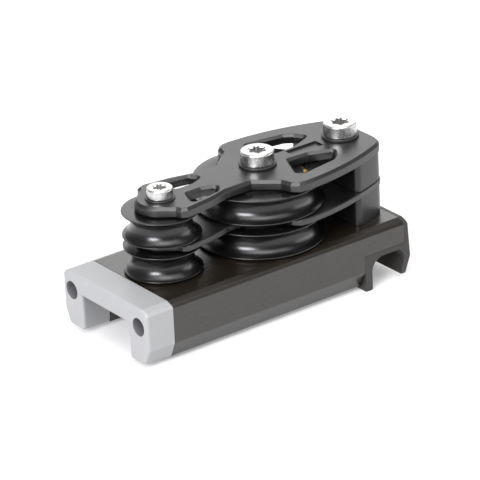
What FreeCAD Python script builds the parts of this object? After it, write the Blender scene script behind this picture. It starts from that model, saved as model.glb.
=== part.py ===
import FreeCAD, Part
import math
import os
import Sketcher
from FreeCAD import Vector

# A four-sheave block on the end fitting of a sailing boat's traveller track.
#
# Two pairs of sheaves, one small and one large, stand one above the other between the
# fitting and two cheek plates, and a pillar carries the plates at the rear.  Everything is
# modelled with X from the bumper's front face towards the rear, Y across the track and Z up
# from the underside of the extrusion.  place() then moves each piece so that the origin is
# under the middle of the whole fitting, at the lowest point of the end cap's feet.

DIMS = {
    # whole fitting
    "overall_length": 125.5,
    "foot_drop": 2.0,
    # extruded base, which slides over a 30 mm T-track
    "base_end": 122.9,
    "base_width": 54.2,
    "base_height": 22.7,
    "top_width": 47.0,
    "facet_width": 52.1,
    "facet_height": 21.75,
    "side_top": 20.7,
    "side_bottom": 6.4,
    "bottom_width": 48.4,
    "channel_width": 30.2,
    "channel_height": 14.4,
    "notch_start": 103.3,
    "notch_height": 13.0,
    "notch_corner": 1.6,
    # end screws of the bumper and of the rear cap
    "port_spacing": 43.0,
    "port_height": 15.0,
    "port_radius": 1.8,
    "port_depth": 14.0,
    "end_screw_radius": 1.75,
    "end_screw_length": 12.0,
    "end_head_radius": 3.2,
    "end_head_height": 2.4,
    "end_socket_radius": 1.3,
    "end_socket_depth": 1.0,
    "flat_head_height": 1.2,
    "flat_head_x": 124.8,
    # front bumper
    "bumper_length": 12.3,
    "bumper_round": 1.4,
    "bumper_leg_round": 1.6,
    "bumper_bore_radius": 3.6,
    "bumper_bore_depth": 9.0,
    # rear end cap
    "cap_top_end": 124.5,
    "cap_bulge_height": 7.0,
    "cap_toe_outer": 122.9,
    "cap_toe_inner": 120.6,
    "cap_leg_end": 106.7,
    "cap_wall_inner": 122.5,
    "cap_web_end": 119.5,
    "arch_height": 10.9,
    "arch_front_radius": 5.6,
    "arch_rear_radius": 3.9,
    "arch_rear": 119.3,
    "cap_foot_round": 0.8,
    "toe_height": 0.2,
    # heights of the stack
    "tier_gap": 11.5,
    "middle_thickness": 2.6,
    "top_thickness": 3.7,
    # axles and screws
    "small_axle_x": 28.0,
    "large_axle_x": 74.0,
    "pillar_axle_x": 114.1,
    "screw_tip_height": 15.2,
    "screw_clearance": 0.05,
    "small_screw_radius": 3.0,
    "small_head_radius": 5.0,
    "small_head_height": 3.8,
    "small_socket_radius": 2.05,
    "small_socket_lobe": 0.7,
    "small_socket_depth": 2.4,
    "small_washer_radius": 5.8,
    "small_washer_thickness": 0.6,
    "large_screw_radius": 4.0,
    "large_head_radius": 6.5,
    "large_head_height": 5.0,
    "large_socket_radius": 2.95,
    "large_socket_lobe": 0.95,
    "large_socket_depth": 3.2,
    "large_washer_radius": 7.3,
    "large_washer_thickness": 1.0,
    "head_chamfer": 0.5,
    "small_sleeve_radius": 4.5,
    "large_sleeve_radius": 6.0,
    # sheaves, their ball rows and inner races
    "sheave_width": 10.2,
    "rim_width": 0.5,
    "rim_chamfer": 0.15,
    "small_rim_radius": 15.1,
    "small_rope_radius": 4.95,
    "small_pitch_radius": 8.1,
    "small_ball_radius": 1.15,
    "small_balls_per_row": 15,
    "small_collar_radius": 6.2,
    "large_rim_radius": 25.3,
    "large_rope_radius": 4.65,
    "large_pitch_radius": 18.3,
    "large_ball_radius": 1.4,
    "large_balls_per_row": 30,
    "large_collar_radius": 14.0,
    "ball_clearance": 0.2,
    "lip_gap": 0.85,
    "row_offset": 2.9,
    # outline that both cheek plates share, as corners of the +Y half
    "lobe_radius": 9.8,
    "lobe_x": 22.2,
    "lobe_y": 7.9,
    "ear_inner_x": 26.6,
    "ear_inner_y": 11.7,
    "ear_front_x": 27.5,
    "ear_front_y": 14.0,
    "ear_x": 29.9,
    "ear_y": 15.2,
    "ear_rear_x": 41.9,
    "ear_rear_y": 13.6,
    "neck_front_x": 51.1,
    "neck_rear_x": 62.5,
    "neck_y": 11.1,
    "shoulder_inner_x": 70.8,
    "shoulder_inner_y": 18.5,
    "shoulder_front_x": 72.1,
    "shoulder_front_y": 22.9,
    "shoulder_x": 74.6,
    "shoulder_y": 25.3,
    "flank_x": 78.1,
    "flank_y": 25.8,
    "flank_radius": 105.0,
    "tail_x": 118.6,
    "tail_y": 16.7,
    "tail_radius": 9.0,
    "tail_end_x": 124.0,
    "tail_end_y": 8.5,
    "cheek_chamfer": 1.1,
    "middle_chamfer": 0.4,
    "window_chamfer": 1.0,
    "window_corner": 1.2,
    # windows of the top cheek, +Y half
    "slot_front_x": 37.9,
    "slot_inner_y": 3.3,
    "slot_corner_x": 35.3,
    "slot_corner_y": 10.3,
    "slot_outer_x": 36.5,
    "slot_outer_y": 11.2,
    "slot_rear_x": 48.1,
    "slot_rear_y": 9.1,
    "slot_tip_x": 50.6,
    "slot_tip_y": 5.5,
    "slot_bend_x": 44.8,
    "window_front_x": 85.3,
    "window_inner_y": 4.3,
    "window_corner_x": 80.3,
    "window_corner_y": 16.0,
    "window_outer_x": 82.2,
    "window_outer_y": 18.0,
    "window_side_x": 98.2,
    "window_side_y": 15.4,
    "window_heel_x": 101.4,
    "window_heel_y": 13.1,
    "window_tip_x": 104.2,
    "window_tip_y": 8.8,
    "window_bend_x": 94.7,
    "window_bend_y": 4.9,
    "recess_front": 89.2,
    "recess_rear": 103.9,
    "recess_width": 5.0,
    "recess_depth": 0.8,
    # pillar between the plates
    "pillar_front": 105.4,
    "pillar_front_y": 21.0,
    "pillar_inset": 0.4,
    "pillar_corner": 2.0,
}

SOCKET_LOBES = 6
TURN = 360.0
EXTRA = 2.0  # how far a cutting profile runs past the face it opens
NEAR = 0.01  # how close two places are that count as the same

doc = FreeCAD.newDocument("track_end_block")
sheet = doc.addObject("Spreadsheet::Sheet", "dims")
for row, (alias, size) in enumerate(DIMS.items(), start=1):
    sheet.set(f"A{row}", alias)
    sheet.set(f"B{row}", str(size))
    sheet.setAlias(f"B{row}", alias)
doc.recompute()

nodes = []

# Heights of the stack, as expressions of the sheet's cells.
BASE_TOP = "dims.base_height"
MIDDLE_BOTTOM = f"({BASE_TOP} + dims.tier_gap)"
MIDDLE_TOP = f"({MIDDLE_BOTTOM} + dims.middle_thickness)"
CHEEK_BOTTOM = f"({MIDDLE_TOP} + dims.tier_gap)"
CHEEK_TOP = f"({CHEEK_BOTTOM} + dims.top_thickness)"
TIERS = {"lower": BASE_TOP, "upper": MIDDLE_TOP}


def measure(expression):
    """The value in millimetres of an expression of the sheet's cells."""
    return float(sheet.evalExpression(str(expression)))


def place(part, x="0", y="0", z="0"):
    """Put a sub-part in the row's frame, given its place in the modelling frame."""
    part.setExpression("Placement.Base.x", f"{x} - dims.overall_length / 2")
    part.setExpression("Placement.Base.y", y)
    part.setExpression("Placement.Base.z", f"{z} + dims.foot_drop")


def add_node(part, label):
    """Name a finished sub-part and list it for export."""
    part.Label = label
    nodes.append(part)
    return part


def new_body(name):
    return doc.addObject("PartDesign::Body", name)


def new_sketch(body, name, plane="XY_Plane", height="0"):
    """A sketch on one of the body's own origin planes, moved along the plane's normal."""
    sketch = body.newObject("Sketcher::SketchObject", name)
    origin = next(item for item in body.Origin.OriginFeatures if item.Role == plane)
    sketch.AttachmentSupport = [(origin, "")]
    sketch.MapMode = "FlatFace"
    sketch.setExpression("AttachmentOffset.Base.z", height)
    return sketch


def bind(sketch, constraint, expression):
    index = sketch.addConstraint(constraint)
    sketch.setExpression(f"Constraints[{index}]", expression)


def fix_point(sketch, curve, end, x, y):
    """Hold one end of a sketch curve at a pair of expressions."""
    bind(sketch, Sketcher.Constraint("DistanceX", -1, 1, curve, end, measure(x)), x)
    bind(sketch, Sketcher.Constraint("DistanceY", -1, 1, curve, end, measure(y)), y)


def arc_middle(start, end, radius, side):
    """The middle of the shorter arc from start to end; side 1 bulges left, -1 right."""
    chord = end - start
    left = Vector(-chord.y, chord.x, 0).normalize()
    sagitta = radius - math.sqrt(radius ** 2 - chord.Length ** 2 / 4)
    return (start + end) / 2 + left * side * sagitta


def draw_outline(sketch, corners):
    """A closed outline through corners (x, y) or (x, y, radius, side).

    A corner with a radius starts an arc that runs to the next corner.
    """
    points = [Vector(measure(c[0]), measure(c[1]), 0) for c in corners]
    for number, corner in enumerate(corners):
        start, end = points[number], points[(number + 1) % len(points)]
        if len(corner) == 2:
            curve = sketch.addGeometry(Part.LineSegment(start, end))
            start_end = 1
        else:
            radius = measure(corner[2])
            middle = arc_middle(start, end, radius, corner[3])
            # A sketch's arcs run anticlockwise, so one that bulges left is drawn backwards.
            start_end = 1 if corner[3] < 0 else 2
            ends = (start, end) if start_end == 1 else (end, start)
            curve = sketch.addGeometry(Part.Arc(ends[0], middle, ends[1]))
        if number == 0:
            first_curve, first_end = curve, start_end
        else:
            sketch.addConstraint(Sketcher.Constraint(
                "Coincident", last_curve, last_end, curve, start_end))
        last_curve, last_end = curve, 3 - start_end
        fix_point(sketch, curve, start_end, corner[0], corner[1])
        if len(corner) == 4:
            bind(sketch, Sketcher.Constraint("Radius", curve, radius), corner[2])
    sketch.addConstraint(Sketcher.Constraint(
        "Coincident", last_curve, last_end, first_curve, first_end))
    return sketch


def draw_circle(sketch, x, y, radius):
    centre = Vector(measure(x), measure(y), 0)
    circle = Part.Circle(centre, Vector(0, 0, 1), measure(radius))
    curve = sketch.addGeometry(circle)
    fix_point(sketch, curve, 3, x, y)
    bind(sketch, Sketcher.Constraint("Radius", curve, measure(radius)), radius)
    return sketch


def mirrored(corners):
    """Corners of a +Y half followed by their mirror images, walked back."""
    other_half = []
    for number in range(len(corners) - 1, -1, -1):
        x, y = corners[number][:2]
        arc = corners[number - 1][2:] if number > 0 else ()
        other_half.append((x, f"-({y})") + tuple(arc))
    return corners + other_half


def pad(body, sketch, length, midplane=False):
    feature = body.newObject("PartDesign::Pad", f"{sketch.Name}_pad")
    feature.Profile = sketch
    feature.setExpression("Length", length)
    feature.Midplane = midplane
    doc.recompute()
    return feature


def pocket(body, sketch, length, reversed_cut=False, midplane=False):
    """Cut a sketch into the body and make sure that it removed something."""
    before = body.Shape.Volume
    feature = body.newObject("PartDesign::Pocket", f"{sketch.Name}_pocket")
    feature.Profile = sketch
    feature.setExpression("Length", length)
    feature.Reversed = reversed_cut
    feature.Midplane = midplane
    doc.recompute()
    if body.Shape.Volume >= before:
        raise RuntimeError(f"{feature.Name} cuts nothing")
    return feature


def revolve(body, sketch):
    feature = body.newObject("PartDesign::Revolution", f"{sketch.Name}_turn")
    feature.Profile = sketch
    feature.ReferenceAxis = (sketch, ["V_Axis"])
    feature.Angle = TURN
    doc.recompute()
    return feature


def edge_names(feature, wanted):
    """Names of the feature's edges that pass a test of their ends and their middle."""
    names = []
    for index, edge in enumerate(feature.Shape.Edges, start=1):
        ends = [vertex.Point for vertex in edge.Vertexes]
        middle = edge.valueAt((edge.FirstParameter + edge.LastParameter) / 2)
        if wanted(ends, middle):
            names.append(f"Edge{index}")
    return names


def dress(body, kind, feature, wanted, size):
    """Chamfer or fillet the edges of a feature that pass a test."""
    names = edge_names(feature, wanted)
    result = body.newObject(f"PartDesign::{kind}", f"{feature.Name}_{kind.lower()}")
    result.Base = (feature, names)
    result.setExpression("Size" if kind == "Chamfer" else "Radius", size)
    doc.recompute()
    if not names or "Invalid" in result.State:
        raise RuntimeError(f"{result.Name} failed on {len(names)} edges")
    return result


def round_point(point):
    return (round(point.x, 3), round(point.y, 3), round(point.z, 3))


def level(z):
    """A test for edges that lie at one height."""
    return lambda ends, middle: all(near(point.z, z) for point in ends + [middle])


def near(value, target):
    return abs(value - target) < NEAR


def drill(body, name, places, radius, depth, plane="XY_Plane", height="0", reversed_cut=False):
    """Round holes at (x, y) places on a plane."""
    sketch = new_sketch(body, name, plane, height)
    for x, y in places:
        draw_circle(sketch, x, y, radius)
    return pocket(body, sketch, depth, reversed_cut)


# Extruded base and its two ends ------------------------------------------------------------

PORTS = [("dims.port_spacing / 2", "dims.port_height"),
         ("-dims.port_spacing / 2", "dims.port_height")]

AXLES = [("small_axle_x", "small_screw_radius"),
         ("large_axle_x", "large_screw_radius"),
         ("pillar_axle_x", "large_screw_radius")]


def base_section():
    """The extrusion's section: an inverted U over the track, faceted at its top corners."""
    half = [
        ("dims.channel_width / 2", "0"),
        ("dims.bottom_width / 2", "0"),
        ("dims.base_width / 2", "dims.side_bottom"),
        ("dims.base_width / 2", "dims.side_top"),
        ("dims.facet_width / 2", "dims.facet_height"),
        ("dims.top_width / 2", "dims.base_height"),
    ]
    left = [(f"-({y})", z) for y, z in reversed(half)]
    ceiling = [("-dims.channel_width / 2", "dims.channel_height"),
               ("dims.channel_width / 2", "dims.channel_height")]
    return half + left + ceiling


def make_base_body():
    """Extruded aluminium base with its tapped holes, screw ports and rear side notches."""
    body = new_body("base_body")
    section = draw_outline(new_sketch(body, "section", "YZ_Plane", "dims.bumper_length"),
                           base_section())
    pad(body, section, "dims.base_end - dims.bumper_length")

    notch = new_sketch(body, "side_notch", "XZ_Plane")
    draw_outline(notch, [
        ("dims.notch_start", f"-{EXTRA}"),
        (f"dims.base_end + {EXTRA}", f"-{EXTRA}"),
        (f"dims.base_end + {EXTRA}", "dims.notch_height + dims.notch_corner"),
        ("dims.base_end", "dims.notch_height + dims.notch_corner", "dims.notch_corner", 1),
        ("dims.base_end - dims.notch_corner", "dims.notch_height"),
        ("dims.notch_start", "dims.notch_height"),
    ])
    pocket(body, notch, "dims.base_width * 2", midplane=True)

    for axle, radius in AXLES:
        drill(body, f"{axle}_hole", [(f"dims.{axle}", "0")],
              f"dims.{radius} + dims.screw_clearance", "dims.base_height", height=BASE_TOP)
    drill(body, "front_ports", PORTS, "dims.port_radius", "dims.port_depth",
          "YZ_Plane", "dims.bumper_length", reversed_cut=True)
    drill(body, "rear_ports", PORTS, "dims.port_radius", "dims.port_depth",
          "YZ_Plane", "dims.base_end")
    place(body)
    return add_node(body, "base_body")


def make_front_bumper():
    """Plastic bumper that closes the extrusion's front, rounded where it meets a stop."""
    body = new_body("front_bumper")
    section = draw_outline(new_sketch(body, "bumper_section", "YZ_Plane"), base_section())
    block = pad(body, section, "dims.bumper_length")
    foot = measure("dims.bottom_width / 2")
    inside = measure("dims.channel_width / 2")
    block = dress(body, "Fillet", block,
                  lambda ends, middle: near(middle.z, 0) and
                  (near(abs(middle.y), foot) or near(abs(middle.y), inside)),
                  "dims.bumper_leg_round")
    dress(body, "Fillet", block,
          lambda ends, middle: all(near(point.x, 0) for point in ends + [middle]),
          "dims.bumper_round")
    drill(body, "head_bores", PORTS, "dims.bumper_bore_radius", "dims.bumper_bore_depth",
          "YZ_Plane", "0", reversed_cut=True)
    drill(body, "shank_bores", PORTS, "dims.port_radius", "dims.bumper_length",
          "YZ_Plane", "0", reversed_cut=True)
    place(body)
    return add_node(body, "front_bumper")


def make_rear_end_cap():
    """Plastic end cap: two legs, a line outlet arch on each side and a closing rear wall."""
    body = new_body("rear_end_cap")
    profile = new_sketch(body, "cap_profile", "XZ_Plane")
    draw_outline(profile, [
        ("dims.notch_start", "dims.notch_height"),
        ("dims.base_end - dims.notch_corner", "dims.notch_height", "dims.notch_corner", -1),
        ("dims.base_end", "dims.notch_height + dims.notch_corner"),
        ("dims.base_end", "dims.base_height"),
        ("dims.cap_top_end", "dims.base_height"),
        ("dims.overall_length", "dims.cap_bulge_height"),
        ("dims.cap_toe_outer", "dims.toe_height"),
        ("dims.cap_toe_inner", "dims.toe_height"),
        ("dims.cap_wall_inner", "dims.arch_height - dims.arch_rear_radius",
         "dims.arch_rear_radius", -1),
        ("dims.arch_rear", "dims.arch_height"),
        ("dims.cap_leg_end + dims.arch_front_radius", "dims.arch_height",
         "dims.arch_front_radius", -1),
        ("dims.cap_leg_end", "dims.arch_height - dims.arch_front_radius"),
        ("dims.cap_leg_end", "-dims.foot_drop"),
        ("dims.notch_start", "-dims.foot_drop"),
    ])
    block = pad(body, profile, "dims.base_width", midplane=True)
    toes = [(measure("dims.cap_toe_outer"), measure("dims.toe_height")),
            (measure("dims.cap_leg_end"), -measure("dims.foot_drop"))]
    dress(body, "Fillet", block,
          lambda ends, middle: near(middle.y, 0) and
          any(near(middle.x, x) and near(middle.z, z) for x, z in toes),
          "dims.cap_foot_round")

    track = new_sketch(body, "track_way", "YZ_Plane", "dims.cap_web_end")
    half = "dims.channel_width / 2"
    draw_outline(track, [
        (f"-{half}", "-dims.base_height"),
        (half, "-dims.base_height"),
        (half, "dims.channel_height"),
        (f"-{half}", "dims.channel_height"),
    ])
    pocket(body, track, "dims.cap_web_end")

    corners = new_sketch(body, "top_facets", "YZ_Plane")
    for sign in ("", "-"):
        draw_outline(corners, [
            (f"{sign}dims.top_width / 2", "dims.base_height"),
            (f"{sign}dims.facet_width / 2", "dims.facet_height"),
            (f"{sign}dims.base_width / 2", "dims.side_top"),
            (f"{sign}dims.base_width", "dims.side_top"),
            (f"{sign}dims.base_width", "dims.base_height * 2"),
            (f"{sign}dims.top_width / 2", "dims.base_height * 2"),
        ])
    pocket(body, corners, "dims.overall_length * 2", reversed_cut=True)

    drill(body, "cap_screw_holes", PORTS, "dims.port_radius", "dims.base_end",
          "YZ_Plane", "dims.overall_length")
    drill(body, "cap_head_seats", PORTS, "dims.end_head_radius + dims.screw_clearance",
          "dims.overall_length - dims.flat_head_x + dims.flat_head_height",
          "YZ_Plane", "dims.overall_length")
    place(body)
    return add_node(body, "rear_end_cap")


# Cheek plates and pillars ------------------------------------------------------------------

def cheek_outline():
    """Outline of both cheek plates, the -Y half mirrored from the +Y half."""
    half = [
        ("dims.lobe_x", "dims.lobe_y"),
        ("dims.ear_inner_x", "dims.ear_inner_y"),
        ("dims.ear_front_x", "dims.ear_front_y"),
        ("dims.ear_x", "dims.ear_y"),
        ("dims.ear_rear_x", "dims.ear_rear_y"),
        ("dims.neck_front_x", "dims.neck_y"),
        ("dims.neck_rear_x", "dims.neck_y"),
        ("dims.shoulder_inner_x", "dims.shoulder_inner_y"),
        ("dims.shoulder_front_x", "dims.shoulder_front_y"),
        ("dims.shoulder_x", "dims.shoulder_y"),
        ("dims.flank_x", "dims.flank_y", "dims.flank_radius", 1),
        ("dims.tail_x", "dims.tail_y", "dims.tail_radius", 1),
        ("dims.tail_end_x", "dims.tail_end_y"),
    ]
    outline = mirrored(half)
    nose = outline[-1][:2] + ("dims.lobe_radius", 1)
    return outline[:-1] + [nose]


def drill_axles(body, top, depth):
    """Screw holes of a cheek plate."""
    for axle, radius in AXLES:
        drill(body, f"{axle}_hole", [(f"dims.{axle}", "0")],
              f"dims.{radius} + dims.screw_clearance", depth, height=top)


def cut_windows(body):
    """Two front slots and two rear windows, one of each on either side of the spine."""
    slot = [
        ("dims.slot_front_x", "dims.slot_inner_y"),
        ("dims.slot_corner_x", "dims.slot_corner_y"),
        ("dims.slot_outer_x", "dims.slot_outer_y"),
        ("dims.slot_rear_x", "dims.slot_rear_y"),
        ("dims.slot_tip_x", "dims.slot_tip_y"),
        ("dims.slot_bend_x", "dims.slot_inner_y"),
    ]
    window = [
        ("dims.window_front_x", "dims.window_inner_y"),
        ("dims.window_corner_x", "dims.window_corner_y"),
        ("dims.window_outer_x", "dims.window_outer_y"),
        ("dims.window_side_x", "dims.window_side_y"),
        ("dims.window_heel_x", "dims.window_heel_y"),
        ("dims.window_tip_x", "dims.window_tip_y"),
        ("dims.window_bend_x", "dims.window_bend_y"),
    ]
    sketch = new_sketch(body, "windows", height="dims.top_thickness")
    for corners in (slot, window):
        draw_outline(sketch, corners)
        draw_outline(sketch, [(x, f"-{y}") for x, y in corners])
    return pocket(body, sketch, "dims.top_thickness")


def make_top_cheek():
    """Top cheek plate: chamfered round its top edge, with windows and a blank name recess."""
    body = new_body("top_cheek")
    outline = draw_outline(new_sketch(body, "top_outline"), cheek_outline())
    plate = pad(body, outline, "dims.top_thickness")
    top = measure("dims.top_thickness")
    rim = dress(body, "Chamfer", plate, level(top), "dims.cheek_chamfer")
    rim_ends = {round_point(vertex.Point) for vertex in rim.Shape.Vertexes}

    windows = cut_windows(body)
    windows = dress(body, "Fillet", windows,
                    lambda ends, middle: near(min(point.z for point in ends), 0) and
                    near(max(point.z for point in ends), top),
                    "dims.window_corner")
    dress(body, "Chamfer", windows,
          lambda ends, middle: level(top)(ends, middle) and
          not rim_ends & {round_point(point) for point in ends},
          "dims.window_chamfer")

    recess = new_sketch(body, "name_recess", height="dims.top_thickness")
    draw_outline(recess, [
        ("dims.recess_front", "-dims.recess_width / 2"),
        ("dims.recess_rear", "-dims.recess_width / 2"),
        ("dims.recess_rear", "dims.recess_width / 2"),
        ("dims.recess_front", "dims.recess_width / 2"),
    ])
    pocket(body, recess, "dims.recess_depth")
    drill_axles(body, "dims.top_thickness", "dims.top_thickness")
    place(body, z=CHEEK_BOTTOM)
    return add_node(body, "top_cheek")


def make_middle_cheek():
    """Plain plate between the two tiers, with its edges broken on both faces."""
    body = new_body("middle_cheek")
    outline = draw_outline(new_sketch(body, "middle_outline"), cheek_outline())
    plate = pad(body, outline, "dims.middle_thickness")
    top = measure("dims.middle_thickness")
    dress(body, "Chamfer", plate,
          lambda ends, middle: level(0)(ends, middle) or level(top)(ends, middle),
          "dims.middle_chamfer")
    sketch = new_sketch(body, "large_sleeve_hole", height="dims.middle_thickness")
    draw_circle(sketch, "dims.large_axle_x", "0",
                "dims.large_sleeve_radius + dims.screw_clearance")
    pocket(body, sketch, "dims.middle_thickness")
    drill(body, "small_sleeve_hole", [("dims.small_axle_x", "0")],
          "dims.small_sleeve_radius + dims.screw_clearance", "dims.middle_thickness",
          height="dims.middle_thickness")
    drill(body, "pillar_screw_hole", [("dims.pillar_axle_x", "0")],
          "dims.large_screw_radius + dims.screw_clearance", "dims.middle_thickness",
          height="dims.middle_thickness")
    place(body, z=MIDDLE_BOTTOM)
    return add_node(body, "middle_cheek")


def make_pillar(tier, bottom):
    """Spacer at the rear of one tier, following the plates' tail a little inside them."""
    body = new_body(f"{tier}_pillar")
    tail = [
        ("dims.pillar_front", "dims.pillar_front_y",
         "dims.flank_radius - dims.pillar_inset", 1),
        ("dims.tail_x", "dims.tail_y - dims.pillar_inset",
         "dims.tail_radius - dims.pillar_inset", 1),
        ("dims.tail_end_x - dims.pillar_inset", "dims.tail_end_y"),
    ]
    outline = draw_outline(new_sketch(body, f"{tier}_pillar_outline"), mirrored(tail))
    block = pad(body, outline, "dims.tier_gap")
    front = measure("dims.pillar_front")
    dress(body, "Fillet", block,
          lambda ends, middle: all(near(point.x, front) for point in ends) and
          not near(ends[0].z, ends[-1].z),
          "dims.pillar_corner")
    drill(body, f"{tier}_pillar_hole", [("dims.pillar_axle_x", "0")],
          "dims.large_screw_radius + dims.screw_clearance", "dims.tier_gap",
          height="dims.tier_gap")
    place(body, z=bottom)
    return add_node(body, f"{tier}_pillar")


# Sheaves, races and balls --------------------------------------------------------------------

def tracks(size, land, upward):
    """Corners of a sheave's or a race's two ball tracks, in the order they are walked.

    Each track is an arc about a ball's centre, cut into a cylinder that stands lip_gap away
    from the pitch circle.
    """
    radius = f"(dims.{size}_ball_radius + dims.ball_clearance)"
    half = f"sqrt({radius} ^ 2 - dims.lip_gap ^ 2)"
    walk = 1 if upward else -1
    corners = []
    for row in (-walk, walk):
        corners.append((land, f"{row} * dims.row_offset - {walk} * {half}", radius, 1))
        corners.append((land, f"{row} * dims.row_offset + {walk} * {half}"))
    return corners


def make_sheave(tier, size, bottom):
    """Sheave ring turned in one piece: rims, rope groove and two ball tracks in its bore."""
    body = new_body(f"{tier}_{size}_sheave")
    sketch = new_sketch(body, f"{tier}_{size}_ring", "XZ_Plane")
    half = "dims.sheave_width / 2"
    rim = f"dims.{size}_rim_radius"
    break_radius = f"{rim} - dims.rim_chamfer"
    lip = f"({half} - dims.rim_width)"
    land = f"dims.{size}_pitch_radius + dims.lip_gap"
    draw_outline(sketch, [
        (land, f"-{half}"),
        (break_radius, f"-{half}"),
        (rim, f"-{half} + dims.rim_chamfer"),
        (rim, f"-{lip} - dims.rim_chamfer"),
        (break_radius, f"-{lip}", f"dims.{size}_rope_radius", 1),
        (break_radius, lip),
        (rim, f"{lip} + dims.rim_chamfer"),
        (rim, f"{half} - dims.rim_chamfer"),
        (break_radius, half),
        (land, half),
    ] + tracks(size, land, upward=False))
    revolve(body, sketch)
    place(body, x=f"dims.{size}_axle_x", z=f"{bottom} + dims.tier_gap / 2")
    return add_node(body, f"{tier}_{size}_sheave")


def make_race(tier, size, bottom):
    """Inner race, clamped between the plates on its collars, that the balls run on."""
    body = new_body(f"{tier}_{size}_race")
    sketch = new_sketch(body, f"{tier}_{size}_race_section", "XZ_Plane")
    bore = f"dims.{size}_sleeve_radius + dims.screw_clearance"
    collar = f"dims.{size}_collar_radius"
    land = f"dims.{size}_pitch_radius - dims.lip_gap"
    draw_outline(sketch, [
        (bore, "-dims.tier_gap / 2"),
        (collar, "-dims.tier_gap / 2"),
        (collar, "-dims.sheave_width / 2"),
        (land, "-dims.sheave_width / 2"),
    ] + tracks(size, land, upward=True) + [
        (land, "dims.sheave_width / 2"),
        (collar, "dims.sheave_width / 2"),
        (collar, "dims.tier_gap / 2"),
        (bore, "dims.tier_gap / 2"),
    ])
    revolve(body, sketch)
    place(body, x=f"dims.{size}_axle_x", z=f"{bottom} + dims.tier_gap / 2")
    return add_node(body, f"{tier}_{size}_race")


def make_balls(tier, size, bottom):
    """Both rows of loose balls between a sheave and its race, the rows half a pitch apart."""
    count = int(DIMS[f"{size}_balls_per_row"])
    pitch = measure(f"dims.{size}_pitch_radius")
    radius = measure(f"dims.{size}_ball_radius")
    offset = measure("dims.row_offset")
    balls = []
    for row in (-1, 1):
        for number in range(count):
            angle = 2 * math.pi * (number + row / 4) / count
            centre = Vector(pitch * math.cos(angle), pitch * math.sin(angle), row * offset)
            balls.append(Part.makeSphere(radius, centre))
    part = doc.addObject("Part::Feature", f"{tier}_{size}_balls")
    part.Shape = Part.makeCompound(balls)
    place(part, x=f"dims.{size}_axle_x", z=f"{bottom} + dims.tier_gap / 2")
    return add_node(part, f"{tier}_{size}_balls")


# Sleeves, screws and washers -----------------------------------------------------------------

def make_tube(label, inner, outer, length):
    """A plain tube standing on its origin, from a cylinder with a smaller one cut out."""
    wall = doc.addObject("Part::Cylinder", f"{label}_wall")
    wall.setExpression("Radius", outer)
    wall.setExpression("Height", length)
    bore = doc.addObject("Part::Cylinder", f"{label}_bore")
    bore.setExpression("Radius", inner)
    bore.setExpression("Height", length)
    tube = doc.addObject("Part::Cut", label)
    tube.Base = wall
    tube.Tool = bore
    return tube


def make_sleeve(size, label):
    """Steel sleeve round a screw, from the base up to the top plate, that carries two races."""
    tube = make_tube(label, f"dims.{size}_screw_radius + dims.screw_clearance",
                     f"dims.{size}_sleeve_radius", f"{CHEEK_BOTTOM} - {BASE_TOP}")
    place(tube, x=f"dims.{size}_axle_x", z=BASE_TOP)
    return add_node(tube, label)


def make_washer(size, axle, label):
    tube = make_tube(label, f"dims.{size}_screw_radius + dims.screw_clearance",
                     f"dims.{size}_washer_radius", f"dims.{size}_washer_thickness")
    place(tube, x=f"dims.{axle}", z=CHEEK_TOP)
    return tube


def cut_socket(body, name, size, plane, height, reversed_cut):
    """Six-lobed driver socket: a round recess with lobes spaced round its wall."""
    drill(body, f"{name}_core", [("0", "0")], f"dims.{size}_socket_radius",
          f"dims.{size}_socket_depth", plane, height, reversed_cut)
    sketch = new_sketch(body, f"{name}_lobe", plane, height)
    draw_circle(sketch, f"dims.{size}_socket_radius", "0", f"dims.{size}_socket_lobe")
    lobe = pocket(body, sketch, f"dims.{size}_socket_depth", reversed_cut)
    lobes = body.newObject("PartDesign::PolarPattern", f"{name}_lobes")
    lobes.Originals = [lobe]
    lobes.Axis = (sketch, ["N_Axis"])
    lobes.Angle = TURN
    lobes.Occurrences = SOCKET_LOBES
    body.Tip = lobes
    doc.recompute()


def make_cap_screw(size, axle, name):
    """Stainless low-head cap screw with a six-lobed socket, its head on a washer."""
    body = new_body(name)
    sketch = new_sketch(body, f"{name}_section", "XZ_Plane")
    radius = f"dims.{size}_screw_radius"
    head = f"dims.{size}_head_radius"
    top = f"dims.{size}_head_height"
    seat = f"({CHEEK_TOP} + dims.{size}_washer_thickness)"
    tip = f"-({seat} - dims.screw_tip_height)"
    draw_outline(sketch, [
        ("0", tip),
        (f"{radius} - dims.head_chamfer", tip),
        (radius, f"{tip} + dims.head_chamfer"),
        (radius, "0"),
        (head, "0"),
        (head, f"{top} - dims.head_chamfer"),
        (f"{head} - dims.head_chamfer", top),
        ("0", top),
    ])
    revolve(body, sketch)
    cut_socket(body, name, size, "XY_Plane", top, reversed_cut=False)
    place(body, x=f"dims.{axle}", z=seat)
    return body


def make_end_screw(name, port, facing, head_corners, seat_x, socket_x):
    """A short screw along X; facing is 1 if its head looks to the rear, -1 to the front."""
    body = new_body(name)
    sketch = new_sketch(body, f"{name}_section", "XY_Plane")
    tip = f"{seat_x} - {facing} * dims.end_screw_length"
    draw_outline(sketch, [(tip, "0"), (tip, "dims.end_screw_radius"),
                          (seat_x, "dims.end_screw_radius")] + head_corners)
    feature = body.newObject("PartDesign::Revolution", f"{name}_turn")
    feature.Profile = sketch
    feature.ReferenceAxis = (sketch, ["H_Axis"])
    feature.Angle = TURN
    doc.recompute()
    drill(body, f"{name}_socket", [("0", "0")], "dims.end_socket_radius",
          "dims.end_socket_depth", "YZ_Plane", socket_x, reversed_cut=facing < 0)
    place(body, y=port[0], z=port[1])
    return body


def group(label, parts):
    """Identical separate pieces in one node."""
    compound = doc.addObject("Part::Compound", label)
    compound.Links = parts
    return add_node(compound, label)


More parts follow.
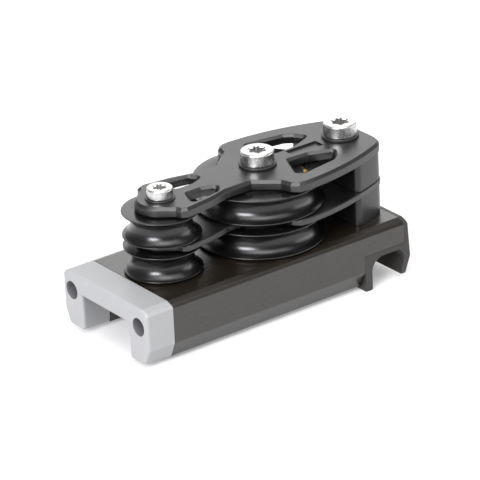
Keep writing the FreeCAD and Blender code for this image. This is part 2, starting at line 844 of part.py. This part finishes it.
def make_end_screws():
    """Pan-head screws down the bumper's bores and countersunk screws in the rear cap."""
    seat = "dims.bumper_bore_depth"
    front = f"({seat} - dims.end_head_height)"
    pan_head = [(seat, "dims.end_head_radius"), (front, "dims.end_head_radius"), (front, "0")]
    pan_screws = [make_end_screw(f"bumper_screw_{number}", port, -1, pan_head, seat, front)
                  for number, port in enumerate(PORTS)]
    group("bumper_screws", pan_screws)

    rear = "dims.flat_head_x"
    under = f"({rear} - dims.flat_head_height)"
    flat_head = [(rear, "dims.end_head_radius"), (rear, "0")]
    flat_screws = [make_end_screw(f"cap_screw_{number}", port, 1, flat_head, under, rear)
                   for number, port in enumerate(PORTS)]
    group("end_cap_screws", flat_screws)


# Build ---------------------------------------------------------------------------------------

make_base_body()
make_front_bumper()
make_rear_end_cap()
make_end_screws()
for tier, bottom in TIERS.items():
    for size in ("small", "large"):
        make_sheave(tier, size, bottom)
        make_race(tier, size, bottom)
        make_balls(tier, size, bottom)
    make_pillar(tier, bottom)
make_middle_cheek()
make_top_cheek()
make_sleeve("small", "front_sleeve")
make_sleeve("large", "middle_sleeve")
add_node(make_cap_screw("small", "small_axle_x", "front_screw"), "front_screw")
group("large_screws", [make_cap_screw("large", "large_axle_x", "middle_screw"),
                       make_cap_screw("large", "pillar_axle_x", "rear_screw")])
add_node(make_washer("small", "small_axle_x", "front_washer"), "front_washer")
group("large_washers", [make_washer("large", "large_axle_x", "middle_washer"),
                        make_washer("large", "pillar_axle_x", "rear_washer")])
doc.recompute()

faults = [item.Name for item in doc.Objects
          if "Invalid" in item.State or "Error" in item.State]
for node in nodes:
    if node.Shape.isNull() or not node.Shape.isValid() or not node.Shape.Solids:
        faults.append(node.Label)
if faults:
    raise RuntimeError(f"failed objects: {faults}")

os.makedirs("parts", exist_ok=True)
whole = FreeCAD.BoundBox()
for node in nodes:
    node.Shape.exportStep(f"parts/{node.Label}.step")
    whole.add(node.Shape.BoundBox)
    print(f"{node.Label}: {len(node.Shape.Solids)} solids, {node.Shape.Volume:.1f} mm3")
print(f"{len(nodes)} nodes, {whole.XLength:.2f} x {whole.YLength:.2f} x {whole.ZLength:.2f} mm, "
      f"from {whole.XMin:.2f}, {whole.YMin:.2f}, {whole.ZMin:.2f}")
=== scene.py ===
import math

import bmesh
import bpy
from mathutils import Matrix, Vector


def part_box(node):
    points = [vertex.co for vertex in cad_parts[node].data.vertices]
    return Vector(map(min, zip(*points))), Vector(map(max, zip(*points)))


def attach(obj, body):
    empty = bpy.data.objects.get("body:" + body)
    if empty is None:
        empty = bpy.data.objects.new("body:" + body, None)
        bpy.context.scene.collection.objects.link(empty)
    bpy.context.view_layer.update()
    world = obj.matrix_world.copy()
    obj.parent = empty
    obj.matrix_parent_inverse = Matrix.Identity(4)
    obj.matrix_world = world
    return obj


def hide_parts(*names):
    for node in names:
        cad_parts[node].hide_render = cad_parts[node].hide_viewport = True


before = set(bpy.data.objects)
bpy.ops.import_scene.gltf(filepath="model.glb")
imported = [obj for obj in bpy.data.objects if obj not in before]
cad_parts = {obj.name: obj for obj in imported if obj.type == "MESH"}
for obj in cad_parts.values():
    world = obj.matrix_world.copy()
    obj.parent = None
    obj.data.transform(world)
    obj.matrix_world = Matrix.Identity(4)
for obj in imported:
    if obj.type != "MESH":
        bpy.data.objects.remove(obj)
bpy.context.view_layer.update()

# Sizes and places are in metres, in the CAD model's frame: X along the track towards the end
# cap, Y across it, Z up, with the origin on the floor under the middle of the fitting.
MM = 0.001

# Roundings of edges
WELD = 0.002 * MM
FLAT = math.radians(0.4)
SHARP = math.radians(14)
EDGE_STEPS = 3

# Sheaves
SHEAVE_POINTS = 288
RIM_WIDTH = 0.5 * MM
RIM_ROUND = 0.15 * MM
ROPE_RADIUS = {"small": 4.95 * MM, "large": 4.65 * MM}
ROW_OFFSET = 2.9 * MM
BALL_ROOM = 0.2 * MM
LIP_GAP = 0.85 * MM
BALLS = {"small": {"pitch": 8.1 * MM, "radius": 1.15 * MM},
         "large": {"pitch": 18.3 * MM, "radius": 1.4 * MM}}

# Screws
SCREW_POINTS = 336
KNURLS = 84
KNURL_DEPTH = 0.05 * MM
TIP_CHAMFER = 0.5 * MM
HEAD_CHAMFER = 0.3 * MM
KNURL_START = 0.7 * MM
KNURL_FADE = 0.2 * MM
KNURL_STOP = 0.15 * MM
SOCKET_CHAMFER = 0.3 * MM
SOCKET_FLARE = 0.35 * MM
DRILL_RADIUS = 0.3 * MM
DRILL_DEPTH = 0.5 * MM
LOBES = 6
SCREWS = {
    "small": {"shank": 3.0 * MM, "head": 5.0 * MM, "height": 3.8 * MM, "socket": 2.2 * MM,
              "lobe": 0.36 * MM, "depth": 2.2 * MM, "round": 0.55 * MM},
    "large": {"shank": 4.0 * MM, "head": 6.5 * MM, "height": 5.0 * MM, "socket": 2.95 * MM,
              "lobe": 0.5 * MM, "depth": 3.0 * MM, "round": 0.65 * MM},
}

# End screws, as shares of the head's radius, and in metres
END_SHANK, PAN_DEPTH, FLAT_DEPTH = 0.55, 0.75, 0.37
END_SOCKET, END_LOBE = 0.42, 0.07
PAN_ROUND = 0.5 * MM
END_CHAMFER = 0.12 * MM
END_SOCKET_DEPTH = 1.0 * MM

# How far off a wall still shelters a recess, and the colour of the painted shade in a deep one
RECESS_REACH = 25.0 * MM
RECESS_SHADE = (0.05, 0.05, 0.056, 1)

SIZES = ("small", "large")
TIERS = ("lower", "upper")


# Meshes --------------------------------------------------------------------------------------

def middle_of(node):
    low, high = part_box(node)
    return (low + high) / 2


def new_piece(name, data, body, replaced, material):
    """A shown piece that rides on a CAD body and stands for some CAD nodes."""
    piece = bpy.data.objects.new(name, data)
    bpy.context.scene.collection.objects.link(piece)
    data.materials.append(material)
    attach(piece, body)
    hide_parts(*replaced)
    return piece


def smooth_by_angle(data):
    """Shade a mesh smooth, with the edges that turn more than SHARP kept sharp."""
    mesh = bmesh.new()
    mesh.from_mesh(data)
    for face in mesh.faces:
        face.smooth = True
    for edge in mesh.edges:
        edge.smooth = len(edge.link_faces) == 2 and edge.calc_face_angle(0) < SHARP
    mesh.to_mesh(data)
    mesh.free()


def softened(node, name, width, material, clamp=False):
    """A copy of a CAD node with its sharp edges rounded, which stands for it."""
    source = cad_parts[node].data
    data = bpy.data.meshes.new(name)
    data.from_pydata([vertex.co for vertex in source.vertices], [],
                     [list(face.vertices) for face in source.polygons])
    mesh = bmesh.new()
    mesh.from_mesh(data)
    bmesh.ops.remove_doubles(mesh, verts=mesh.verts, dist=WELD)
    bmesh.ops.dissolve_limit(mesh, angle_limit=FLAT, verts=mesh.verts, edges=mesh.edges)
    mesh.to_mesh(data)
    mesh.free()
    piece = new_piece(name, data, "root", [node], material)
    bevel = piece.modifiers.new("edges", "BEVEL")
    bevel.limit_method = "ANGLE"
    bevel.angle_limit = SHARP
    bevel.width = width
    bevel.segments = EDGE_STEPS
    bevel.use_clamp_overlap = clamp
    bevel.harden_normals = False
    for face in data.polygons:
        face.use_smooth = True
    weighted = piece.modifiers.new("normals", "WEIGHTED_NORMAL")
    weighted.keep_sharp = True
    return piece


def arc(centre, radius, start, end, steps):
    """Points (r, z) along an arc from one angle to another, in degrees from +r towards +z."""
    points = []
    for step in range(steps + 1):
        angle = math.radians(start + (end - start) * step / steps)
        points.append((centre[0] + radius * math.cos(angle),
                       centre[1] + radius * math.sin(angle)))
    return points


def ring_mesh(name, rings, count, centre, closed, axis="Z"):
    """A mesh of rings (radius, height) about a centre; a radius may be a function of angle.

    A closed mesh joins its last ring to its first, and an open one is capped at both ends.
    """
    mesh = bmesh.new()
    loops = []
    for radius, height in rings:
        loop = []
        for number in range(count):
            angle = 2 * math.pi * number / count
            reach = radius(angle) if callable(radius) else radius
            loop.append(mesh.verts.new((reach * math.cos(angle), reach * math.sin(angle), height)))
        loops.append(loop)
    pairs = list(zip(loops, loops[1:]))
    if closed:
        pairs.append((loops[-1], loops[0]))
    else:
        mesh.faces.new(loops[0])
        mesh.faces.new(list(reversed(loops[-1])))
    for lower, upper in pairs:
        for number in range(count):
            after = (number + 1) % count
            mesh.faces.new((lower[number], lower[after], upper[after], upper[number]))
    bmesh.ops.recalc_face_normals(mesh, faces=mesh.faces)
    if axis == "X":
        bmesh.ops.transform(mesh, matrix=Matrix.Rotation(math.pi / 2, 4, "Y"), verts=mesh.verts)
    bmesh.ops.translate(mesh, vec=centre, verts=mesh.verts)
    data = bpy.data.meshes.new(name)
    mesh.to_mesh(data)
    mesh.free()
    smooth_by_angle(data)
    return data


# Materials -----------------------------------------------------------------------------------

class Shader:
    """A node material under way: nodes are added by kind, and take sockets or plain values."""

    def __init__(self, name):
        self.material = bpy.data.materials.new(name)
        self.material.use_nodes = True
        self.tree = self.material.node_tree
        self.surface = next(n for n in self.tree.nodes if n.type == "BSDF_PRINCIPLED")
        coordinates = self.tree.nodes.new("ShaderNodeTexCoord")
        self.place = coordinates.outputs["Object"]

    def put(self, target, value):
        if isinstance(value, bpy.types.NodeSocket):
            self.tree.links.new(value, target)
        else:
            target.default_value = value

    def add(self, kind, inputs, **settings):
        added = self.tree.nodes.new(kind)
        for key, value in settings.items():
            setattr(added, key, value)
        for key, value in inputs.items():
            self.put(added.inputs[key], value)
        return added

    def stretched(self, scale):
        """The piece's own coordinates, scaled along each axis."""
        return self.add("ShaderNodeVectorMath", {0: self.place, 1: scale},
                        operation="MULTIPLY").outputs[0]

    def noise(self, scale, detail=2.0, roughness=0.5):
        """Noise from 0 to 1; scale is in features per metre along each axis."""
        return self.add("ShaderNodeTexNoise",
                        {"Vector": self.stretched(scale), "Scale": 1.0, "Detail": detail,
                         "Roughness": roughness}).outputs["Fac"]

    def between(self, value, low, high):
        """A value from 0 to 1 mapped on to a range."""
        return self.add("ShaderNodeMapRange", {"Value": value, "To Min": low,
                                               "To Max": high}).outputs["Result"]

    def blend(self, share, first, second):
        mix = self.add("ShaderNodeMix", {}, data_type="RGBA")
        self.put(mix.inputs[0], share)
        self.put(mix.inputs[6], first)
        self.put(mix.inputs[7], second)
        return mix.outputs[2]

    def bump(self, height, strength, distance, normal=None):
        inputs = {"Height": height, "Strength": strength, "Distance": distance}
        if normal is not None:
            inputs["Normal"] = normal
        return self.add("ShaderNodeBump", inputs).outputs["Normal"]

    def openness(self, reach):
        """0 deep in a recess of the piece itself and 1 on its open faces, the mask for painted
        shade.
        """
        return self.add("ShaderNodeAmbientOcclusion", {"Distance": reach},
                        only_local=True).outputs["AO"]

    def set(self, **values):
        for key, value in values.items():
            self.put(self.surface.inputs[key.replace("_", " ")], value)
        return self.material


def grey(value, warmth=0.0):
    return (value * (1 + warmth), value, value * (1 - warmth), 1.0)


def anodised_extrusion():
    """Black anodised extrusion: fine die lines along X under a satin sealed skin."""
    shader = Shader("anodised_extrusion")
    lines = shader.noise((60, 9000, 9000), detail=3.0)
    cloud = shader.noise((90, 90, 90), detail=4.0)
    grain = shader.noise((14000, 14000, 14000))
    colour = shader.blend(cloud, grey(0.0045, 0.35), grey(0.007, 0.35))
    normal = shader.bump(grain, 0.12, 0.03 * MM, shader.bump(lines, 0.10, 0.02 * MM))
    return shader.set(Base_Color=colour, Roughness=shader.between(lines, 0.22, 0.32),
                      IOR=1.66, Normal=normal)


def anodised_plate():
    """Black anodised machined plate: a very fine blasted grain and faint shade changes."""
    shader = Shader("anodised_plate")
    grain = shader.noise((9000, 9000, 9000), detail=3.0)
    cloud = shader.noise((120, 120, 120), detail=4.0)
    colour = shader.blend(cloud, grey(0.002), grey(0.004))
    return shader.set(Base_Color=colour, Roughness=shader.between(cloud, 0.34, 0.42),
                      IOR=1.66, Normal=shader.bump(grain, 0.15, 0.03 * MM))


def moulded_plastic(name, low, high, roughness, grain_depth, index=1.5, recess_shade=None):
    """Moulded plastic with a fine spark-eroded texture and slight clouding.

    The last argument is the colour of the painted shade towards which its bores and recesses
    darken.
    """
    shader = Shader(name)
    grain = shader.noise((3800, 3800, 3800), detail=3.0)
    cloud = shader.noise((70, 70, 70), detail=3.0)
    colour = shader.blend(cloud, low, high)
    light = tuple(part * 1.5 for part in high[:3]) + (1.0,)
    speckled = shader.blend(shader.between(grain, 0.0, 0.25), colour, light)
    if recess_shade:
        # Painted shade: the colour darkens towards the last argument deep in the piece's own bores
        # and recesses
        speckled = shader.blend(shader.openness(RECESS_REACH), recess_shade, speckled)
    return shader.set(Base_Color=speckled,
                      Roughness=shader.between(grain, roughness - 0.06, roughness + 0.06),
                      IOR=index, Normal=shader.bump(grain, 0.35, grain_depth))


def polished_sheave():
    """Turned black sheave: rings left by the tool under a hard gloss."""
    shader = Shader("polished_sheave")
    cloud = shader.noise((160, 160, 160), detail=4.0)
    turning = shader.noise((300, 300, 16000), detail=2.0)
    colour = shader.blend(cloud, grey(0.002), grey(0.005))
    return shader.set(Base_Color=colour, Roughness=shader.between(cloud, 0.23, 0.29),
                      IOR=1.5, Normal=shader.bump(turning, 0.08, 0.01 * MM))


def black_composite():
    shader = Shader("black_composite")
    grain = shader.noise((5200, 5200, 5200), detail=3.0)
    cloud = shader.noise((110, 110, 110), detail=3.0)
    colour = shader.blend(cloud, grey(0.005), grey(0.010))
    return shader.set(Base_Color=colour, Roughness=shader.between(grain, 0.30, 0.42),
                      Normal=shader.bump(grain, 0.2, 0.02 * MM))


def stainless():
    """Bright stainless steel, turned, with faint scratches and uneven polish."""
    shader = Shader("stainless")
    cloud = shader.noise((700, 700, 700), detail=5.0)
    scratches = shader.noise((900, 12000, 2600), detail=4.0, roughness=0.7)
    colour = shader.blend(cloud, grey(0.42, 0.02), grey(0.66, 0.01))
    return shader.set(Base_Color=colour, Metallic=1.0,
                      Roughness=shader.between(scratches, 0.12, 0.40),
                      Normal=shader.bump(cloud, 0.5, 0.03 * MM,
                                         shader.bump(scratches, 0.3, 0.015 * MM)))


def black_nylon():
    shader = Shader("black_nylon")
    grain = shader.noise((6000, 6000, 6000))
    return shader.set(Base_Color=shader.blend(grain, grey(0.010), grey(0.020)),
                      Roughness=shader.between(grain, 0.35, 0.5),
                      Normal=shader.bump(grain, 0.2, 0.02 * MM))


def amber_plastic():
    """Amber bearing plastic, a little translucent, with clouding inside each ball."""
    shader = Shader("amber_plastic")
    cloud = shader.noise((900, 900, 900), detail=4.0)
    colour = shader.blend(cloud, (0.22, 0.12, 0.03, 1), (0.40, 0.25, 0.08, 1))
    return shader.set(Base_Color=colour, Roughness=shader.between(cloud, 0.2, 0.32),
                      Subsurface_Weight=0.15, Subsurface_Scale=0.6 * MM)


# Pieces --------------------------------------------------------------------------------------

def sheave_rings(size, rim, half):
    """Section of a sheave, walked round: bottom face, rim, rope groove, rim, top, ball tracks.

    The rope groove is one arc whose centre lies outside the rim, so that it meets both lips.
    """
    ball = BALLS[size]
    land = ball["pitch"] + LIP_GAP
    track = ball["radius"] + BALL_ROOM
    sweep = math.degrees(math.acos(LIP_GAP / track))
    lip = half - RIM_WIDTH
    rope = ROPE_RADIUS[size]
    drop = math.sqrt(rope ** 2 - lip ** 2)
    reach = math.degrees(math.asin(lip / rope))
    groove = (rim - RIM_ROUND + drop, 0)
    corner = rim - RIM_ROUND
    section = [(land + RIM_ROUND, -half)]
    section += arc((corner, -half + RIM_ROUND), RIM_ROUND, -90, 0, 5)
    section += arc((corner, -lip - RIM_ROUND), RIM_ROUND, 0, 90, 5)
    section += arc(groove, rope, 180 + reach, 180 - reach, 40)[1:-1]
    section += arc((corner, lip + RIM_ROUND), RIM_ROUND, -90, 0, 5)
    section += arc((corner, half - RIM_ROUND), RIM_ROUND, 0, 90, 5)
    section += arc((land + RIM_ROUND, half - RIM_ROUND), RIM_ROUND, 90, 180, 4)
    for row in (1, -1):
        section += arc((ball["pitch"], row * ROW_OFFSET), track, sweep, -sweep, 16)
    section += arc((land + RIM_ROUND, -half + RIM_ROUND), RIM_ROUND, 180, 270, 4)[:-1]
    return section


def make_sheaves(material):
    for tier in TIERS:
        for size in SIZES:
            node = f"{tier}_{size}_sheave"
            low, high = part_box(node)
            rim = (high.x - low.x) / 2
            half = (high.z - low.z) / 2
            data = ring_mesh(f"{node}_ring", sheave_rings(size, rim, half), SHEAVE_POINTS,
                             middle_of(node), closed=True)
            new_piece(f"{node}_ring", data, node, [node], material)


def knurled(radius):
    """A knurled wall: shallow rounded flutes round a head."""
    return lambda angle: radius - KNURL_DEPTH * (0.5 - 0.5 * math.cos(KNURLS * angle))


def lobed(radius, lobe):
    """A six-lobed driver socket's wall."""
    return lambda angle: radius + lobe * math.cos(LOBES * angle)


def screw_rings(size, seat, tip):
    """A low-head cap screw from its tip up to the socket's floor, heights from its seat."""
    screw = SCREWS[size]
    head, top, rounding = screw["head"], screw["height"], screw["round"]
    socket, lobe = screw["socket"], screw["lobe"]
    rings = [(screw["shank"] - TIP_CHAMFER, tip), (screw["shank"], tip + TIP_CHAMFER),
             (screw["shank"], seat), (head - HEAD_CHAMFER, seat), (head, seat + HEAD_CHAMFER),
             (head, seat + KNURL_START - KNURL_FADE)]
    wall_top = seat + top - rounding
    rings += [(knurled(head), seat + KNURL_START), (knurled(head), wall_top - KNURL_STOP),
              (head, wall_top)]
    rings += arc((head - rounding, wall_top), rounding, 12, 90, 6)
    floor = seat + top - screw["depth"]
    rings += [(lobed(socket + SOCKET_FLARE, lobe * 0.8), seat + top),
              (lobed(socket, lobe), seat + top - SOCKET_CHAMFER),
              (lobed(socket, lobe), floor), (lobed(socket * 0.8, lobe * 0.5), floor),
              (DRILL_RADIUS, floor - DRILL_DEPTH)]
    return rings


def screw_places(node, count):
    """Middles of a node's one or two screws, spread along X, with their lowest and highest Z."""
    low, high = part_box(node)
    head = high.y
    places = [Vector((x, 0, 0)) for x in (low.x + head, high.x - head)]
    return places[:count], low.z, high.z


def make_cap_screws(material, washer_material):
    """The three cap screws over the top cheek, each on a washer."""
    groups = (("small", "front_screw", "front_washer", 1),
              ("large", "large_screws", "large_washers", 2))
    for size, node, washer, count in groups:
        places, tip, top = screw_places(node, count)
        seat = top - SCREWS[size]["height"]
        low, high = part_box(washer)
        for number, place in enumerate(places, start=1):
            name = f"{size}_cap_screw_{number}"
            data = ring_mesh(name, screw_rings(size, seat, tip), SCREW_POINTS, place,
                             closed=False)
            new_piece(name, data, "root", [node], material)
            name = f"{size}_washer_{number}"
            data = ring_mesh(name, washer_rings(high.y, SCREWS[size]["shank"], low.z, high.z),
                             SHEAVE_POINTS, place, closed=True)
            new_piece(name, data, "root", [washer], washer_material)


def washer_rings(outer, bore, bottom, top):
    """A washer's section with its two outer corners rounded."""
    edge = (top - bottom) * 0.3
    section = [(bore, bottom)]
    section += arc((outer - edge, bottom + edge), edge, -90, 0, 4)
    section += arc((outer - edge, top - edge), edge, 0, 90, 4)
    return section + [(bore, top)]


def make_end_screws(material):
    """Pan heads down the bumper's bores and countersunk heads flush in the end cap."""
    for node, facing in (("bumper_screws", -1), ("end_cap_screws", 1)):
        low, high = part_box(node)
        head = (high.z - low.z) / 2
        face = high.x if facing > 0 else low.x
        tip = low.x if facing > 0 else high.x
        length = abs(face - tip)
        shank = head * END_SHANK
        depth = head * (PAN_DEPTH if facing < 0 else FLAT_DEPTH)
        rings = [(shank, 0), (shank, length - depth)]
        if facing < 0:
            rings += [(head, length - depth)]
            rings += arc((head - PAN_ROUND, length - PAN_ROUND), PAN_ROUND, 0, 90, 5)
        else:
            rings += [(head, length - 0.15 * MM), (head - 0.1 * MM, length)]
        socket, lobe = head * END_SOCKET, head * END_LOBE
        floor = length - END_SOCKET_DEPTH
        rings += [(lobed(socket + END_CHAMFER, lobe), length),
                  (lobed(socket, lobe), length - END_CHAMFER),
                  (lobed(socket, lobe), floor + 0.05 * MM), (0.2 * MM, floor)]
        if facing < 0:
            rings = [(radius, -height) for radius, height in rings]
        for side in (1, -1):
            name = f"{node[:-1]}_{'left' if side > 0 else 'right'}"
            centre = Vector((tip, side * (high.y - head), (low.z + high.z) / 2))
            data = ring_mesh(name, rings, SCREW_POINTS, centre, closed=False, axis="X")
            new_piece(name, data, "root", [node], material)


def paint(node, material):
    """Give a carried-over CAD node its finish."""
    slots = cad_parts[node].material_slots
    for slot in slots:
        slot.material = material


# Stage ---------------------------------------------------------------------------------------

# The camera looks at a point near the middle of the object, from the photograph's direction.
TARGET = Vector((1.15, 0.0, 27.0)) * MM
AZIMUTH = math.radians(-36.018)
ELEVATION = math.radians(24.715)
ROLL = math.radians(-2.684)
DISTANCE = 1.5
LENS = 294.6
SENSOR = 36.0
SHIFT = (0.0010, -0.0085)
FLOOR_GLOW = 0.26
# Strength of the surround at its lower and upper levels, and the two levels as sines of elevation
HORIZON, ZENITH = 1.0, 0.3
HORIZON_TOP, ZENITH_START = 0.08, 0.38
FLOOR_HALF = 6.0


def make_camera():
    camera = bpy.data.objects.new("camera", bpy.data.cameras.new("camera"))
    bpy.context.scene.collection.objects.link(camera)
    camera.data.sensor_width = SENSOR
    camera.data.lens = LENS
    camera.data.shift_x, camera.data.shift_y = SHIFT
    camera.data.clip_start, camera.data.clip_end = 0.05, 20
    back = Vector((math.sin(AZIMUTH) * math.cos(ELEVATION),
                   -math.cos(AZIMUTH) * math.cos(ELEVATION), math.sin(ELEVATION)))
    camera.location = TARGET + back * DISTANCE
    turn = (-back).to_track_quat("-Z", "Y") @ Matrix.Rotation(ROLL, 4, "Z").to_quaternion()
    camera.rotation_mode = "QUATERNION"
    camera.rotation_quaternion = turn
    bpy.context.scene.camera = camera


def add_softbox(name, direction, distance, size, power, colour=(1, 1, 1)):
    light = bpy.data.lights.new(name, "AREA")
    light.shape = "RECTANGLE"
    light.size, light.size_y = size
    light.energy = power
    light.color = colour
    lamp = bpy.data.objects.new(name, light)
    bpy.context.scene.collection.objects.link(lamp)
    towards = Vector(direction).normalized()
    lamp.location = TARGET + towards * distance
    lamp.rotation_mode = "QUATERNION"
    lamp.rotation_quaternion = (-towards).to_track_quat("-Z", "Y")


def make_floor():
    """A pale light table: it glows a little, so that its shadows stay soft and faint."""
    corners = [(FLOOR_HALF * x, FLOOR_HALF * y, 0) for x, y in ((-1, -1), (1, -1), (1, 1), (-1, 1))]
    data = bpy.data.meshes.new("floor")
    data.from_pydata(corners, [], [(0, 1, 2, 3)])
    floor = bpy.data.objects.new("floor", data)
    bpy.context.scene.collection.objects.link(floor)
    shader = Shader("floor")
    cloud = shader.noise((3, 3, 3))
    data.materials.append(shader.set(Base_Color=shader.blend(cloud, grey(0.62), grey(0.64)),
                                     Roughness=0.7, Emission_Color=grey(1.0),
                                     Emission_Strength=FLOOR_GLOW))


def make_world():
    """A surround for lighting, brightest near the horizon, which the camera sees as white."""
    world = bpy.data.worlds.new("studio")
    bpy.context.scene.world = world
    world.use_nodes = True
    tree = world.node_tree
    tree.nodes.clear()
    out = tree.nodes.new("ShaderNodeOutputWorld")
    direction = tree.nodes.new("ShaderNodeTexCoord")
    split = tree.nodes.new("ShaderNodeSeparateXYZ")
    fade = tree.nodes.new("ShaderNodeMapRange")
    fade.inputs["From Min"].default_value = HORIZON_TOP
    fade.inputs["From Max"].default_value = ZENITH_START
    fade.inputs["To Min"].default_value = HORIZON
    fade.inputs["To Max"].default_value = ZENITH
    surround = tree.nodes.new("ShaderNodeBackground")
    tree.links.new(direction.outputs["Generated"], split.inputs[0])
    tree.links.new(split.outputs["Z"], fade.inputs["Value"])
    tree.links.new(fade.outputs["Result"], surround.inputs["Strength"])
    white = tree.nodes.new("ShaderNodeBackground")
    white.inputs["Color"].default_value = (1, 1, 1, 1)
    white.inputs["Strength"].default_value = 1.0
    ray = tree.nodes.new("ShaderNodeLightPath")
    mix = tree.nodes.new("ShaderNodeMixShader")
    tree.links.new(ray.outputs["Is Camera Ray"], mix.inputs["Fac"])
    tree.links.new(surround.outputs[0], mix.inputs[1])
    tree.links.new(white.outputs[0], mix.inputs[2])
    tree.links.new(mix.outputs[0], out.inputs["Surface"])


# Build ---------------------------------------------------------------------------------------

extrusion = anodised_extrusion()
plate = anodised_plate()
grey_plastic = moulded_plastic("grey_plastic", grey(0.235, -0.01), grey(0.265, -0.01), 0.5,
                               0.03 * MM, recess_shade=RECESS_SHADE)
dark_plastic = moulded_plastic("dark_plastic", grey(0.014, 0.08), grey(0.020, 0.08), 0.42,
                               0.02 * MM, index=1.45)
composite = black_composite()
steel = stainless()
nylon = black_nylon()
amber = amber_plastic()

softened("base_body", "base_extrusion", 0.22 * MM, extrusion)
softened("front_bumper", "bumper_moulding", 0.3 * MM, grey_plastic, clamp=True)
softened("rear_end_cap", "end_cap_moulding", 0.3 * MM, dark_plastic)
softened("top_cheek", "top_plate", 0.12 * MM, plate)
softened("middle_cheek", "middle_plate", 0.12 * MM, plate)
for tier in TIERS:
    softened(f"{tier}_pillar", f"{tier}_spacer", 0.3 * MM, composite)
    for size in SIZES:
        paint(f"{tier}_{size}_race", composite)
        paint(f"{tier}_{size}_balls", amber)
make_sheaves(polished_sheave())
make_cap_screws(steel, nylon)
make_end_screws(steel)
paint("front_sleeve", steel)
paint("middle_sleeve", steel)

make_camera()
make_floor()
make_world()
add_softbox("key", (-0.83, -0.36, 0.43), 1.6, (0.7, 0.55), 30, (0.96, 0.95, 1.0))
add_softbox("overhead", (-0.06, -0.25, 0.945), 1.7, (1.9, 2.1), 31)
add_softbox("halo", (-0.66, -0.3, 0.69), 1.6, (1.2, 1.0), 7)
add_softbox("core", (-0.2, -0.36, 0.9), 1.65, (0.75, 0.7), 6)
add_softbox("right", (0.85, -0.5, 0.2), 1.8, (1.6, 0.7), 9)
add_softbox("back", (0.53, 0.73, 0.42), 2.2, (2.4, 1.4), 19)
bpy.context.scene.view_settings.view_transform = "Standard"
